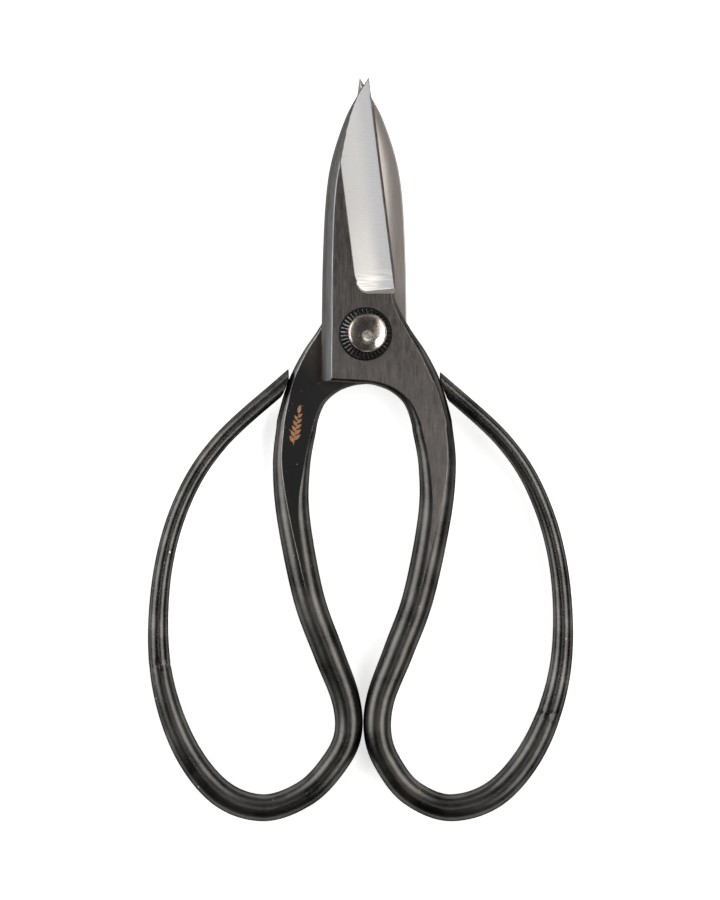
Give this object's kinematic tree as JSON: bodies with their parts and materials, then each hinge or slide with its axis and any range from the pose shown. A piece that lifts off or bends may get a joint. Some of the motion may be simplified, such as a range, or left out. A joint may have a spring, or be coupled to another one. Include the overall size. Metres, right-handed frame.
{
  "type": "floral snips",
  "caption": "Forged floral snips with short stout blades crossed on a rivet with fluted washers, and two long closed finger loops of round steel rod.",
  "frame": {"origin": "where the pivot axis meets the flat of the peened rivet tail, which is the lowest point of the part", "axes": "+Y along the blades towards the tips, +X towards the front half's finger loop, +Z along the pivot axis towards the domed rivet head"},
  "size_m": [0.109, 0.1906, 0.0143],
  "materials": {
    "forged_steel": "forged carbon steel with a black heat scale, hub and shank faces ground, cutting bevel polished bright",
    "black_rod": "blackened steel rod, satin",
    "worn_rivet": "polished rivet head with a worn brown tint",
    "black_washer": "blackened, flutes pressed round the cone"
  },
  "bodies": {
    "back_half": {"back_blade": "forged_steel", "back_handle_rod": "black_rod", "pivot_rivet": "worn_rivet", "front_washer": "black_washer", "back_washer": "black_washer"},
    "front_half": {"front_blade": "forged_steel", "front_handle_rod": "black_rod"}
  },
  "joints": [
    {"name": "blade_pivot", "type": "hinge", "parent": "back_half", "child": "front_half", "pos_m": [0, 0, 0.007], "axis": [0, 0, 1], "range_deg": [0, 70]}
  ]
}
